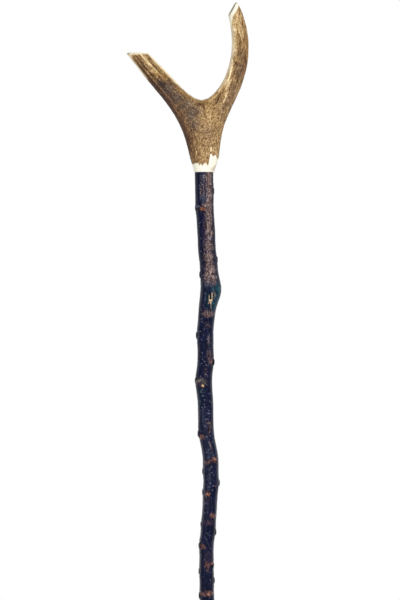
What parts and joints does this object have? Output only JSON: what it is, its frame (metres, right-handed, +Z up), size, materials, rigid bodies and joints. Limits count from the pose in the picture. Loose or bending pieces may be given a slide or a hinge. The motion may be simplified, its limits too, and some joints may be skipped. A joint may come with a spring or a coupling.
{
  "type": "thumb stick",
  "caption": "Walking stick with a sawn antler fork for the thumb, glued by a steel stud to a knobbly blackthorn shank that stands in a push-on rubber ferrule.",
  "frame": {"origin": "middle of the ferrule's tread, on the ground", "axes": "+Z up the stick, +X towards the long tine of the fork, +Y away from the person who faces the fork"},
  "size_m": [0.1472, 0.036, 1.25],
  "materials": {
    "antler": null,
    "bark": "blackthorn with its bark on, varnished glossy",
    "zinc_plated_steel": "zinc plated",
    "rubber": "moulded, matt black"
  },
  "bodies": {
    "ferrule": {"rubber_ferrule": "rubber", "ferrule_disc": "zinc_plated_steel"},
    "stick": {"antler_fork": "antler", "blackthorn_shank": "bark", "joining_stud": "zinc_plated_steel"}
  },
  "joints": [
    {"name": "ferrule_pull", "type": "slide", "parent": "ferrule", "child": "stick", "axis": [0, 0, 1], "range_m": [0, 0.045]}
  ]
}
